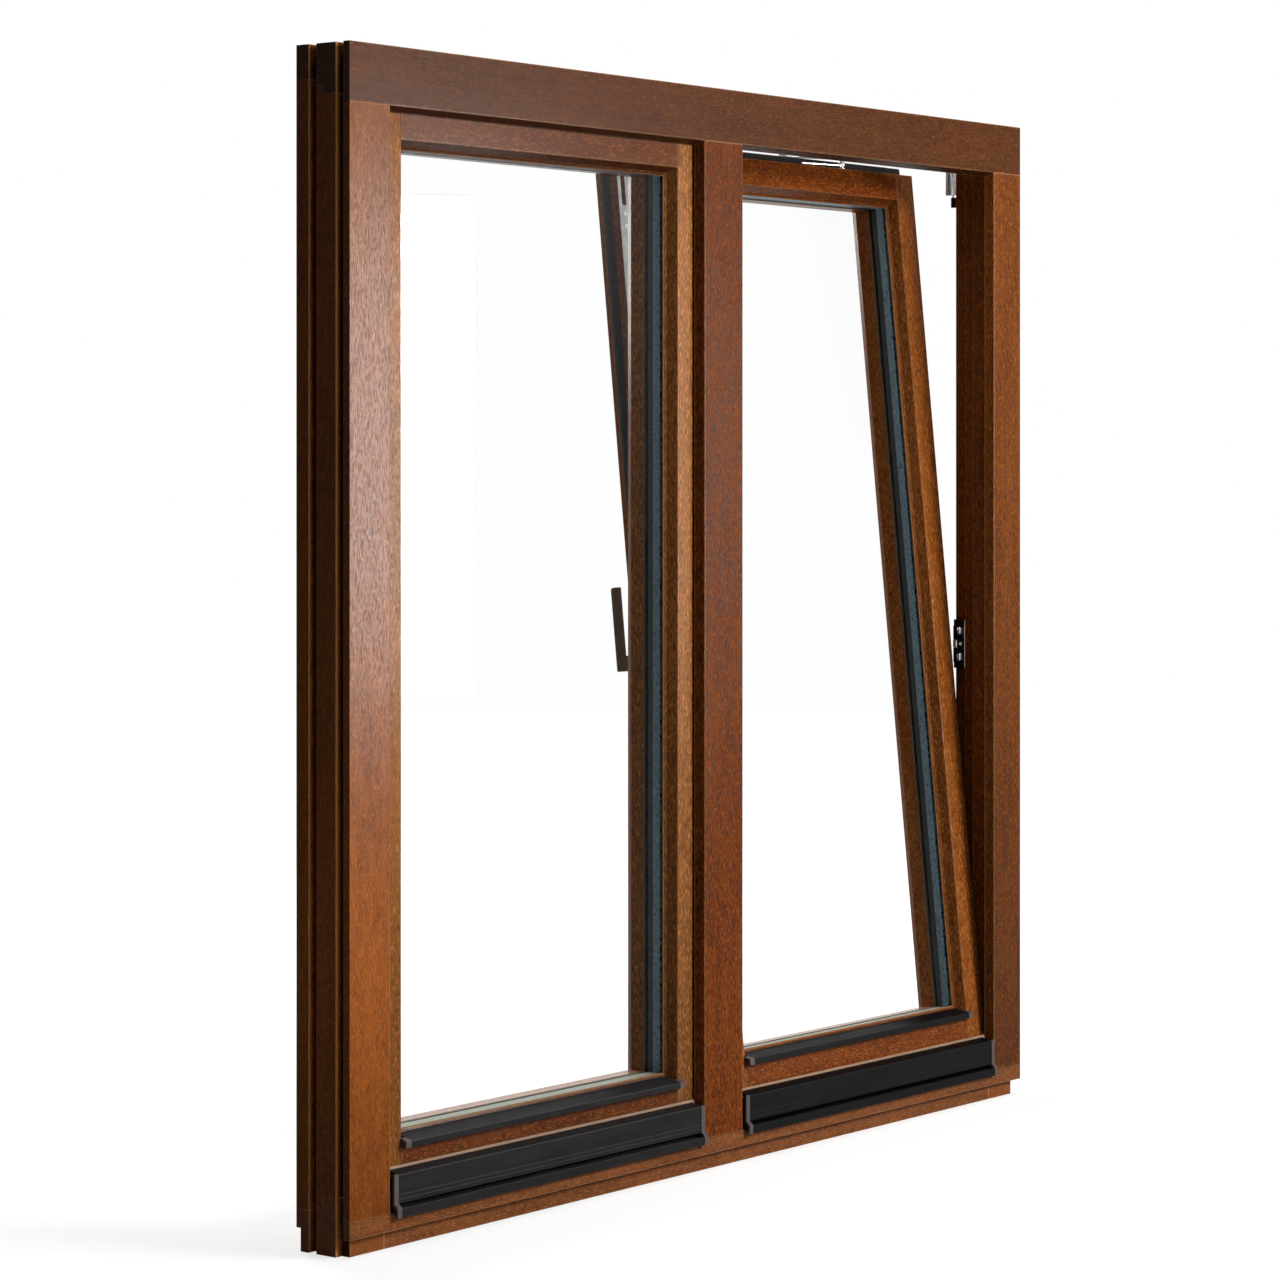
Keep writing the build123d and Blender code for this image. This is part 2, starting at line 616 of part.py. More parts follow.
def build_stay_arm(near, far, leaf_bottom, level):
    """A flat arm from the upper hinge's pin to the sash's top edge, with a leaf down behind the knuckle."""
    middle = (near + far) / 2
    turn = math.degrees(math.atan2(far.Y - near.Y, far.X - near.X))
    bar = extrude(SlotCenterToCenter(STAY_LENGTH, STAY_WIDTH), STAY_THICK)
    arm = Pos(middle.X, middle.Y, level) * Rot(0, 0, turn) * bar
    for end in (near, far):
        arm += Pos(end.X, end.Y, level + STAY_THICK) * extrude(Circle(STAY_RIVET / 2), STAY_RIVET_HEIGHT)
    leaf_front = PIN_DEPTH + KNUCKLE_DIAMETER / 2 + STAY_PLAY
    leaf_left = near.X - STAY_LEAF_WIDTH / 2
    leaf = block(
        leaf_left, leaf_left + STAY_LEAF_WIDTH, leaf_front, PIN_DEPTH + STAY_WIDTH / 2, leaf_bottom, level + STAY_THICK
    )
    return arm + leaf


def build_striker(place, level):
    """A plate on the frame's inner step with a raised keep along its back and two screw slots."""
    half = STRIKER_HEIGHT / 2
    x0, x1 = sorted((place(STEP_C), place(STEP_C + STRIKER_THICK)))
    plate = block(x0, x1, STEP_B_DEPTH, FRAME_DEPTH, level - half, level + half)
    half = STRIKER_KEEP_HEIGHT / 2
    x0, x1 = sorted((place(STEP_C), place(STEP_C + STRIKER_THICK + STRIKER_KEEP)))
    plate += block(x0, x1, FRAME_DEPTH - STRIKER_KEEP_DEPTH, FRAME_DEPTH, level - half, level + half)
    middle = FRONT + (STEP_B_DEPTH + FRAME_DEPTH - STRIKER_KEEP_DEPTH) / 2
    slot = extrude(SlotOverall(*STRIKER_SLOT), STRIKER_SLOT_DEPTH, both=True)
    for side in (-1, 1):
        centre = Pos(place(STEP_C + STRIKER_THICK), middle, level + side * STRIKER_SLOT_PITCH / 2)
        plate -= centre * Rot(0, 90, 0) * slot
    return plate


def build_frame_fittings(left, right):
    """Hinge brackets, stay arm and striker plates that the frame carries."""
    pin_x = right(HINGE_INSET)
    # The tilted sash's top edge carries the far end of the stay arm
    sash_top = rotate_sash(
        block(left(SIGHT), right(SIGHT), SASH_STEP, PLATE_BACK, top_edge(SIGHT), top_edge(EDGE_MIDDLE) + PLATE)
    ).bounding_box().max
    upper_top = sash_top.Z
    upper_bottom = upper_top - UPPER_HINGE_HEIGHT
    tip_bottom = upper_bottom - HINGE_TIP
    pieces["upper_hinge"] = build_hinge(pin_x, right, upper_bottom, upper_top) + post(
        pin_x, PIN_DEPTH, HINGE_TIP_DIAMETER, tip_bottom, upper_bottom
    )
    pieces["hinge_stop"] = block(
        right(STEP_C), right(STEP_C - STOP_WIDTH), FRAME_DEPTH, FRAME_DEPTH + STOP_DEPTH,
        tip_bottom - STOP_HEIGHT, tip_bottom,
    )
    lower_top = LOWER_HINGE_BOTTOM + LOWER_HINGE_HEIGHT
    pieces["lower_hinge"] = build_hinge(pin_x, right, LOWER_HINGE_BOTTOM, lower_top)

    near = Vector(pin_x, FRONT + PIN_DEPTH)
    reach = sash_top.Y - PLATE_WIDTH / 2 - near.Y
    far = near + Vector(-math.sqrt(STAY_LENGTH ** 2 - reach ** 2), reach)
    pieces["stay_arm"] = build_stay_arm(near, far, upper_bottom, upper_top + STAY_PLAY)

    seats = ((right, STRIKER_LEVEL), (left, STRIKER_LEVEL / 2), (left, STRIKER_LEVEL * 1.5))
    pieces["striker_plates"] = [build_striker(place, level) for place, level in seats]


def add_parts(parts):
    """Adds a sash's pieces, joining lists of small pieces into one node."""
    for name, shape in parts.items():
        if isinstance(shape, list):
            pieces.setdefault(name, []).extend(shape)
        else:
            pieces[name] = shape


def tilt_parts(parts):
    """A sash's pieces, each turned about the tilt axis."""
    tilted = {}
    for name, shape in parts.items():
        if isinstance(shape, list):
            tilted[name] = [rotate_sash(solid) for solid in shape]
        else:
            tilted[name] = rotate_sash(shape)
    return tilted


left_bay = (opening_edge(-HALF, 1), opening_edge(MULLION_SHIFT, -1))
right_bay = (opening_edge(-MULLION_SHIFT, 1), opening_edge(HALF, -1))

build_frame()
build_rain_rail("left", *left_bay)
build_rain_rail("right", *right_bay)
add_parts(build_sash("left", *left_bay))
add_parts(tilt_parts(build_sash("right", *right_bay)))
add_parts(tilt_parts(build_sash_fittings(*right_bay)))
build_frame_fittings(*right_bay)

os.makedirs("parts", exist_ok=True)
for name, shape in pieces.items():
    solid = Compound(children=shape) if isinstance(shape, list) else shape
    export_step(solid, f"parts/{name}.step")
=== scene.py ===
"""Looks of the timber tilt-and-turn window: materials, small fittings, light and camera."""

import math

import bmesh
import bpy
from mathutils import Matrix, Vector


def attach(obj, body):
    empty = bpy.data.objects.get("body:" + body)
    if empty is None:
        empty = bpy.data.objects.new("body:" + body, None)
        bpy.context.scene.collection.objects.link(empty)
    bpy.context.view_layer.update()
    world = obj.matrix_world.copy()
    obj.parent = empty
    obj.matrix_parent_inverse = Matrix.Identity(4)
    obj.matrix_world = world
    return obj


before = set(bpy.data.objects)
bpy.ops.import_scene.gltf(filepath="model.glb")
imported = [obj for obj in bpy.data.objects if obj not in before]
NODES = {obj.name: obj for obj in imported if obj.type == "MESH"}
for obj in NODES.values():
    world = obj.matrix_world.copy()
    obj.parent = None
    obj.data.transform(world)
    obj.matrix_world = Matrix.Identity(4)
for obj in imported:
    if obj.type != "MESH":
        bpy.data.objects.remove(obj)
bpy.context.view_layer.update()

# Places repeated from the part's source, in metres
FRONT = -0.043
HALF_WIDTH = 0.7325
JAMB_FACE_EDGE = 0.6615
BASE_STRIP_TOP = 0.022
GROOVE_FLOOR = 0.7215
BROAD_GROOVE_WALL = -0.0205
THIN_GROOVE_WALL = 0.023
TILT = math.radians(5.8)
TILT_AXIS = Vector((0.0, 0.055, 0.048))
UNTILT_SHIFT = TILT_AXIS - Matrix.Rotation(TILT, 3, "X") @ TILT_AXIS

# Directions in the part
UP = (0.0, 0.0, 1.0)
BACKWARD = (0.0, 1.0, 0.0)
LEFTWARD = (-1.0, 0.0, 0.0)
RIGHTWARD = (1.0, 0.0, 0.0)


class Graph:
    """Builds a node tree: each node from its kind, its inputs and its settings."""

    def __init__(self, tree):
        self.tree = tree
        self.tree.nodes.clear()

    def add(self, kind, inputs=None, **settings):
        node = self.tree.nodes.new("ShaderNode" + kind)
        for key, value in settings.items():
            setattr(node, key, value)
        for key, value in (inputs or {}).items():
            self.feed(node, key, value)
        return node

    def feed(self, node, key, value):
        if isinstance(value, bpy.types.NodeSocket):
            self.tree.links.new(value, node.inputs[key])
        else:
            node.inputs[key].default_value = value

    def place(self, tilted=False):
        """Where a point is in the part, or where it is with the tilted sash shut."""
        spot = self.add("TexCoord").outputs["Object"]
        if not tilted:
            return spot
        turn = {"Vector": spot, "Rotation": (TILT, 0.0, 0.0), "Location": UNTILT_SHIFT}
        return self.add("Mapping", turn).outputs["Vector"]

    def split(self, vector):
        return self.add("SeparateXYZ", {"Vector": vector}).outputs

    def stretch(self, vector, scale):
        return self.add("Mapping", {"Vector": vector, "Scale": scale}).outputs["Vector"]

    def noise(self, vector, scale, detail=2.0, rough=0.5, distortion=0.0):
        return self.add("TexNoise", {"Vector": vector, "Scale": scale, "Detail": detail,
                                     "Roughness": rough, "Distortion": distortion}).outputs["Fac"]

    def ramp(self, value, start, end, low=0.0, high=1.0):
        return self.add("MapRange", {"Value": value, "From Min": start, "From Max": end,
                                     "To Min": low, "To Max": high}).outputs["Result"]

    def math(self, operation, first, second=0.0):
        return self.add("Math", {0: first, 1: second}, operation=operation).outputs["Value"]

    def times(self, first, *others):
        for other in others:
            first = self.math("MULTIPLY", first, other)
        return first

    def mix(self, factor, first, second):
        return self.add("Mix", {0: factor, 6: first, 7: second}, data_type="RGBA").outputs[2]

    def dim(self, colour, factor):
        return self.add("VectorMath", {0: colour, "Scale": factor}, operation="SCALE").outputs["Vector"]

    def normal(self):
        return self.add("NewGeometry").outputs["Normal"]

    def soft(self, radius):
        """The surface's direction with its edges rounded off."""
        return self.add("Bevel", {"Radius": radius}, samples=4).outputs["Normal"]

    def arris(self, width):
        """How near an outer edge of its piece a point is, from 0 to 1, and less at a sharp edge."""
        inside = self.add("AmbientOcclusion", {"Distance": 2.0 * width},
                          samples=4, inside=True, only_local=True)
        depth = inside.outputs["AO"]
        turn = self.add("VectorMath", {0: self.soft(width), 1: self.normal()}, operation="DOT_PRODUCT")
        bent = self.ramp(turn.outputs["Value"], 0.9995, 0.993)
        return self.times(bent, self.ramp(depth, 0.9985, 0.978), self.ramp(depth, 0.65, 0.88, 0.4, 1.0))

    def crevice(self, width):
        """How deep in a corner or gap between pieces a point lies, from 0 to 1."""
        around = self.add("AmbientOcclusion", {"Distance": width}, samples=4)
        return self.ramp(around.outputs["AO"], 0.75, 0.3)

    def bump(self, height, strength, distance, normal):
        return self.add("Bump", {"Height": height, "Strength": strength, "Distance": distance,
                                 "Normal": normal}).outputs["Normal"]

    def surface(self, shader):
        self.add("OutputMaterial", {"Surface": shader})

    def principled(self, inputs):
        self.surface(self.add("BsdfPrincipled", inputs).outputs["BSDF"])


def new_material(name):
    material = bpy.data.materials.new(name)
    material.use_nodes = True
    return material, Graph(material.node_tree)


def rgba(colour, factor=1.0):
    return (colour[0] * factor, colour[1] * factor, colour[2] * factor, 1.0)


# Timber
UPRIGHT = 2
LEVEL = 0
RUBBED_WOOD_AND_HIGHLIGHT = (0.66, 0.34, 0.155)
GROOVE_BARE_AND_LIT_WOOD = (0.75, 0.36, 0.11)
STRIP_END = (0.3, 0.085, 0.016)
STRIP_JOINT = (0.5, 0.25, 0.11)
FLECK_AND_GLINT_GAIN = (1.9, 2.1, 2.4)
SIDE_COAT_START = 0.72
TOP_COAT_START = 1.42
BROAD_BARE_AND_LIT_BAND = 0.006
THIN_BARE_AND_LIT_BAND = 0.003


def along_grain(axis, ratio):
    """A scale that draws a pattern out along one axis."""
    scale = [1.0, 1.0, 1.0]
    scale[axis] = ratio
    return tuple(scale)


def sill_joints(graph, place, colour):
    """Pale lines where the strip under the sill is pieced together at the jambs, with redder ends."""
    spot = graph.split(place)
    across = graph.math("SUBTRACT", graph.math("ABSOLUTE", spot["X"]), JAMB_FACE_EDGE)
    low = graph.math("LESS_THAN", spot["Z"], BASE_STRIP_TOP)
    line = graph.times(graph.ramp(graph.math("ABSOLUTE", across), 0.0012, 0.0005), low)
    beyond = graph.times(graph.ramp(across, 0.0, 0.0004), low, 0.5)
    colour = graph.mix(beyond, colour, rgba(STRIP_END))
    return graph.mix(graph.times(line, 0.8), colour, rgba(STRIP_JOINT))


def outer_coat(graph, place, colour):
    """The darker coat on the faces that go into the wall, painted shade on the floors of their grooves, and
    unstained wood with painted light on the walls of the grooves near the outer face.
    """
    x, y, z = graph.split(place)
    nx, ny, nz = graph.split(graph.normal())
    off = graph.math("ABSOLUTE", x)
    side = graph.times(graph.ramp(graph.math("ABSOLUTE", nx), 0.6, 0.9),
                       graph.ramp(off, SIDE_COAT_START - 0.0005, SIDE_COAT_START + 0.0005))
    top = graph.times(graph.ramp(nz, 0.6, 0.9), graph.ramp(z, TOP_COAT_START, TOP_COAT_START + 0.001))
    colour = graph.dim(colour, graph.ramp(graph.math("MAXIMUM", side, top), 0.0, 1.0, 1.0, 0.42))
    # Painted shade: the floors of the outer grooves are darkened.
    floor = graph.times(side, graph.ramp(off, GROOVE_FLOOR + 0.001, GROOVE_FLOOR + 0.0002))
    colour = graph.dim(colour, graph.ramp(floor, 0.0, 1.0, 1.0, 0.3))
    # Painted light with unstained wood: a pale band on the front-facing groove walls near the outer face,
    # where the front light reaches in.
    bands = []
    for wall, band in ((BROAD_GROOVE_WALL, BROAD_BARE_AND_LIT_BAND), (THIN_GROOVE_WALL, THIN_BARE_AND_LIT_BAND)):
        away = graph.math("ABSOLUTE", graph.math("SUBTRACT", y, wall))
        outward = graph.ramp(off, HALF_WIDTH - band, HALF_WIDTH - 0.0007)
        bands.append(graph.times(outward, graph.math("LESS_THAN", away, 0.001)))
    bare_and_lit = graph.times(graph.ramp(ny, -0.6, -0.9), graph.math("MAXIMUM", *bands))
    return graph.mix(graph.times(bare_and_lit, 0.75), colour, rgba(GROOVE_BARE_AND_LIT_WOOD))


def timber(name, body, pale, axis, tilted=False, rough=0.21, wave=0.35, drift=(), joints=False, outer=False,
           shine=0.03, figure=1.0):
    """Stained open-pored timber: cloudy figure, streaks, dark pores and pale flecks along the grain, the pale
    flecks also serving as painted glints; painted shade on the sloping cuts and in the corners; and arrises
    worn to unstained wood and given a painted highlight. Each drift fades the colour from a low height and
    its tone to a high one, and figure is how strongly pores and flecks show."""
    material, graph = new_material(name)
    place = graph.place(tilted)
    cloud = graph.noise(graph.stretch(place, along_grain(axis, 0.16)), 22.0, 3.0, 0.55)
    mottle = graph.noise(graph.stretch(place, along_grain(axis, 0.45)), 85.0, 3.0, 0.6)
    streak = graph.noise(graph.stretch(place, along_grain(axis, 0.03)), 260.0, 3.0, 0.6, 0.3)
    fleck = graph.noise(graph.stretch(place, along_grain(axis, 0.22)), 720.0, 1.5, 0.5, wave)
    pores = graph.noise(graph.stretch(place, along_grain(axis, 0.14)), 850.0, 1.0, 0.5, wave)

    tone = graph.math("ADD", graph.times(cloud, 0.4), graph.times(mottle, 0.35))
    tone = graph.math("ADD", tone, graph.times(streak, 0.25))
    colour = graph.mix(graph.ramp(tone, 0.4, 0.6), rgba(body, 0.86), rgba(pale, 1.04))
    # Pale flecks of the grain that also serve as painted glints.
    bright = graph.ramp(fleck, 0.54, 0.64, 0.0, 0.8 * figure)
    colour = graph.mix(bright, colour, rgba([part * gain for part, gain in zip(pale, FLECK_AND_GLINT_GAIN)]))
    pore = graph.ramp(pores, 0.47, 0.37, 0.0, figure)
    colour = graph.mix(graph.times(pore, 0.75), colour, rgba(body, 0.25))

    # Painted shade: faces that slope, facing neither straight out nor sideways, are darkened.
    lean = graph.math("ABSOLUTE", graph.split(graph.normal())["Y"])
    painted_slope_shade = graph.times(graph.ramp(lean, 0.98, 0.95), graph.ramp(lean, 0.2, 0.3))
    colour = graph.dim(colour, graph.ramp(painted_slope_shade, 0.0, 1.0, 1.0, 0.58))
    spot = graph.split(place)
    for low, low_tone, high, high_tone in drift:
        colour = graph.dim(colour, graph.ramp(spot["Z"], low, high, low_tone, high_tone))
    if joints:
        colour = sill_joints(graph, place, colour)
    if outer:
        colour = outer_coat(graph, place, colour)

    # Painted highlight and wear: the arrises are paled, partly as wear to unstained wood and partly for the
    # light catching them.
    rubbed_and_highlight = graph.times(graph.arris(0.0017), graph.ramp(fleck, 0.3, 0.6, 0.7, 0.95))
    if outer:
        off = graph.math("ABSOLUTE", spot["X"])
        rubbed_and_highlight = graph.times(rubbed_and_highlight, graph.ramp(off, HALF_WIDTH - 0.002, HALF_WIDTH - 0.0005, 1.0, 0.25))
    colour = graph.mix(rubbed_and_highlight, colour, rgba(RUBBED_WOOD_AND_HIGHLIGHT))
    # Painted shade: the colour darkens in corners and in gaps between pieces.
    if not joints:
        colour = graph.dim(colour, graph.ramp(graph.crevice(0.004), 0.0, 1.0, 1.0, 0.3))
    height = graph.math("SUBTRACT", graph.times(fleck, 0.4 * figure), pore)
    gloss = graph.ramp(fleck, 0.3, 0.7, rough + 0.03, rough - 0.03)
    graph.principled({
        "Base Color": colour,
        "Roughness": graph.math("ADD", graph.times(pore, 0.15), gloss),
        "Specular IOR Level": shine,
        "Normal": graph.bump(height, 0.16, 0.0003, graph.soft(0.0011)),
    })
    return material


# Metal, plastic and glass
def coated(name, colour, pale, rough=0.4):
    """Powder-coated metal: a fine orange-peel skin, dull patches, and paler edges, partly worn through the
    coat and partly a painted highlight.
    """
    material, graph = new_material(name)
    place = graph.place()
    skin = graph.noise(place, 2600.0)
    patch = graph.noise(graph.stretch(place, (0.2, 1.0, 1.0)), 60.0, 3.0)
    shade = graph.mix(graph.ramp(patch, 0.3, 0.7), rgba(colour), rgba(colour, 1.5))
    # Worn edges and painted highlight: the arrises are paled.
    shade = graph.mix(graph.times(graph.arris(0.0011), 0.8), shade, rgba(pale))
    graph.principled({
        "Base Color": shade,
        "Roughness": graph.ramp(patch, 0.25, 0.75, rough - 0.06, rough + 0.08),
        "Specular IOR Level": 0.03,
        "Normal": graph.bump(skin, 0.12, 0.0002, graph.soft(0.0007)),
    })
    return material


def metal(name, colour, rough, stain=0.25, brush=(1.0, 1.0, 0.05)):
    """Plated or anodised metal with fine brushing along one way and slight stains."""
    material, graph = new_material(name)
    place = graph.place()
    lines = graph.noise(graph.stretch(place, brush), 1900.0)
    patch = graph.noise(place, 75.0, 3.0)
    shade = graph.mix(graph.ramp(patch, 0.35, 0.65), rgba(colour, 1.0 - stain), rgba(colour))
    rub = graph.times(graph.arris(0.0008), 0.6)
    shade = graph.mix(rub, shade, rgba([min(1.0, part * 1.5) for part in colour]))
    graph.principled({
        "Base Color": shade,
        "Metallic": 0.85,
        "Roughness": graph.ramp(lines, 0.2, 0.8, rough - 0.07, rough + 0.1),
        "Normal": graph.bump(lines, 0.08, 0.0001, graph.soft(0.0006)),
    })
    return material


def plastic(name, colour, pale, rough=0.5):
    """Moulded plastic or rubber with a fine matt skin and paler edges."""
    material, graph = new_material(name)
    place = graph.place()
    skin = graph.noise(place, 1500.0, 3.0)
    patch = graph.noise(place, 45.0, 3.0)
    shade = graph.mix(graph.ramp(patch, 0.35, 0.65), rgba(colour), rgba(colour, 1.25))
    shade = graph.mix(graph.times(graph.arris(0.001), 0.55), shade, rgba(pale))
    graph.principled({
        "Base Color": shade,
        "Roughness": graph.ramp(skin, 0.25, 0.75, rough - 0.08, rough + 0.1),
        "Specular IOR Level": 0.1,
        "Normal": graph.bump(skin, 0.15, 0.0002, graph.soft(0.0007)),
    })
    return material


def glass(name):
    """Clear float glass: lets the light through and mirrors a little, more towards the top, where the
    strength of the reflection is painted by height; dust makes its gloss slightly uneven.
    """
    material, graph = new_material(name)
    place = graph.place()
    dust = graph.noise(place, 5.0, 4.0)
    # Painted reflection: how much the panes mirror is set by height, more towards the top.
    reflection_by_height = graph.ramp(graph.split(place)["Z"], 0.8, 1.3, 0.06, 0.3)
    mirror = graph.add("Fresnel", {"IOR": 1.45}).outputs["Fac"]
    outside = graph.math("SUBTRACT", 1.0, graph.add("NewGeometry").outputs["Backfacing"])
    share = graph.times(mirror, outside, reflection_by_height)
    clear = graph.add("BsdfTransparent", {"Color": (0.997, 0.999, 0.998, 1.0)}).outputs["BSDF"]
    shine = graph.add("BsdfGlossy", {"Color": (0.97, 0.985, 0.975, 1.0),
                                     "Roughness": graph.ramp(dust, 0.3, 0.7, 0.0, 0.03)}).outputs["BSDF"]
    graph.surface(graph.add("MixShader", {0: share, 1: clear, 2: shine}).outputs["Shader"])
    return material


def spacer_bar(name, tilted):
    """The bar between the panes: blue-grey with fine dashes in front, black seal behind, dust on top."""
    material, graph = new_material(name)
    place = graph.place(tilted)
    depth = graph.split(place)["Y"]
    brushed = graph.noise(graph.stretch(place, (1.0, 1.0, 0.3)), 900.0)
    dashes = graph.ramp(graph.noise(graph.stretch(place, (0.35, 1.6, 0.35)), 700.0, 1.0), 0.46, 0.38)
    tone = graph.mix(brushed, rgba((0.12, 0.21, 0.26)), rgba((0.27, 0.4, 0.46)))
    tone = graph.mix(graph.times(dashes, 0.8), tone, rgba((0.012, 0.016, 0.02)))
    tone = graph.mix(graph.ramp(depth, 0.0068, 0.0082), tone, rgba((0.008, 0.008, 0.007)))
    dust = graph.ramp(graph.split(graph.normal())["Z"], 0.7, 0.95)
    graph.principled({
        "Base Color": graph.mix(dust, tone, rgba((0.25, 0.27, 0.21))),
        "Roughness": graph.ramp(brushed, 0.2, 0.8, 0.35, 0.55),
        "Specular IOR Level": 0.2,
        "Normal": graph.bump(brushed, 0.2, 0.0002, graph.soft(0.0005)),
    })
    return material


# The window's materials
LEFT_JAMB = timber("timber_left_jamb", (0.27, 0.067, 0.0068), (0.365, 0.099, 0.0125), UPRIGHT, outer=True,
                   rough=0.27, drift=((0.03, 0.68, 0.3, 1.0), (0.4, 1.0, 0.85, 0.72)), figure=0.6)
MULLION = timber("timber_mullion", (0.122, 0.0255, 0.0026), (0.168, 0.0385, 0.0046), UPRIGHT,
                 drift=((0.15, 1.2, 1.31, 0.945),), shine=0.024, figure=1.2)
RIGHT_JAMB = timber("timber_right_jamb", (0.155, 0.0385, 0.0046), (0.21, 0.0565, 0.0078), UPRIGHT, outer=True,
                    drift=((0.2, 0.66, 0.95, 1.0),))
HEAD = timber("timber_head", (0.08, 0.0225, 0.0053), (0.108, 0.032, 0.0082), LEVEL, outer=True, wave=1.4)
SILL = timber("timber_sill", (0.195, 0.062, 0.017), (0.27, 0.09, 0.028), LEVEL, joints=True, outer=True,
              figure=0.6)
SASH_UPRIGHT = timber("timber_sash_upright", (0.25, 0.085, 0.0185), (0.34, 0.124, 0.031), UPRIGHT,
                      drift=((0.1, 0.76, 0.75, 1.06),))
SASH_EDGE = timber("timber_sash_edge", (0.25, 0.085, 0.0185), (0.34, 0.124, 0.031), UPRIGHT,
                   drift=((0.1, 0.76, 0.75, 1.0),), shine=0.014, figure=0.7)
SASH_LEVEL = timber("timber_sash_level", (0.12, 0.03, 0.0055), (0.16, 0.0425, 0.0086), LEVEL)
LOW_BEAD = timber("timber_low_bead", (0.25, 0.085, 0.0185), (0.34, 0.124, 0.031), LEVEL, shine=0.9)
TILTED_UPRIGHT = timber("timber_tilted_upright", (0.225, 0.062, 0.0095), (0.31, 0.092, 0.0175), UPRIGHT,
                        tilted=True)
TILTED_LEVEL = timber("timber_tilted_level", (0.18, 0.04, 0.005), (0.245, 0.059, 0.0086), LEVEL, tilted=True,
                      drift=((0.1, 0.96, 1.3, 1.45),))
# Painted sheen: the left bay's rails and drips take a lighter coat than the right bay's, standing for the
# lamp's sheen on them.
LIT_LEFT_RAIL = coated("anthracite_powder_coat_painted_sheen", (0.011, 0.01, 0.0102), (0.085, 0.083, 0.083))
RIGHT_RAIL = coated("dark_powder_coat", (0.0018, 0.0018, 0.0018), (0.03, 0.03, 0.03))
CAP = plastic("brown_grey_cap", (0.068, 0.051, 0.045), (0.15, 0.125, 0.11))
SEAL = plastic("tan_seal", (0.26, 0.15, 0.085), (0.36, 0.23, 0.14), 0.6)
GASKET = plastic("black_gasket", (0.006, 0.0055, 0.005), (0.03, 0.028, 0.026), 0.45)
TAPE = plastic("olive_glazing_tape", (0.085, 0.075, 0.055), (0.13, 0.115, 0.085), 0.55)
GLASS = glass("clear_glass")
SPACER = spacer_bar("spacer_bar", False)
TILTED_SPACER = spacer_bar("tilted_spacer_bar", True)
STEEL = metal("plated_steel", (0.46, 0.47, 0.45), 0.36)
BRIGHT_STEEL = metal("bright_steel", (0.93, 0.94, 0.95), 0.26, stain=0.08)
DARK_FITTING = plastic("dark_fitting", (0.008, 0.0078, 0.0075), (0.045, 0.045, 0.045), 0.4)
BRONZE = plastic("dark_bronze", (0.095, 0.072, 0.042), (0.28, 0.235, 0.165), 0.38)

DRESS = {
    "frame_head": HEAD, "frame_sill": SILL, "frame_left_jamb": LEFT_JAMB, "frame_right_jamb": RIGHT_JAMB,
    "frame_mullion": MULLION, "rain_rail_caps": CAP, "rain_rail_seals": SEAL, "drip_caps": CAP,
    "sash_gaskets": GASKET, "edge_faceplate": STEEL, "top_faceplate": STEEL, "handle_rosette": BRONZE,
    "handle_lever": BRONZE, "stay_arm": STEEL, "upper_hinge": BRIGHT_STEEL, "hinge_stop": DARK_FITTING,
    "lower_hinge": STEEL, "lower_hinge_arm": STEEL, "striker_plates": DARK_FITTING,
}
for bay, upright, level, bar, coat in (("left", SASH_UPRIGHT, SASH_LEVEL, SPACER, LIT_LEFT_RAIL),
                                       ("right", TILTED_UPRIGHT, TILTED_LEVEL, TILTED_SPACER, RIGHT_RAIL)):
    DRESS[bay + "_rain_rail"] = coat
    DRESS[bay + "_drip"] = coat
    DRESS[bay + "_spacer"] = bar
    DRESS[bay + "_glazing_tape"] = TAPE
    for pane in ("outer", "inner"):
        DRESS[f"{bay}_{pane}_pane"] = GLASS
    for edge, wood in (("left", upright), ("right", upright), ("top", level), ("bottom", level)):
        member = "stile" if wood is upright else "rail"
        DRESS[f"{bay}_sash_{edge}_{member}"] = wood
        DRESS[f"{bay}_{edge}_bead"] = LOW_BEAD if edge == "bottom" else wood
DRESS["left_sash_left_stile"] = SASH_EDGE

for name, node in NODES.items():
    node.data.materials.clear()
    node.data.materials.append(DRESS[name])


# Outlines and forms of the small fittings
def tilted(matrix):
    """A place on the closed right sash, turned with the sash about its tilt axis."""
    about = Matrix.Translation(TILT_AXIS)
    return about @ Matrix.Rotation(-TILT, 4, "X") @ about.inverted() @ matrix


def facing(place, out, up):
    """A frame whose Z looks out of a surface and whose Y points up along it."""
    out = Vector(out).normalized()
    up = Vector(up).normalized()
    turn = Matrix((up.cross(out), up, out)).transposed().to_4x4()
    return Matrix.Translation(Vector(place)) @ turn


def scaled(points, factor):
    return [(x * factor, y * factor) for x, y in points]


def circle(radius, count=24):
    return [(radius * math.cos(math.tau * i / count), radius * math.sin(math.tau * i / count))
            for i in range(count)]


def rounded(width, height, corner, steps=5):
    """Points round a rectangle with rounded corners."""
    points = []
    for number, (sx, sy) in enumerate(((1, 1), (-1, 1), (-1, -1), (1, -1))):
        for step in range(steps + 1):
            angle = math.pi / 2 * (number + step / steps)
            points.append((sx * (width / 2 - corner) + corner * math.cos(angle),
                           sy * (height / 2 - corner) + corner * math.sin(angle)))
    return points


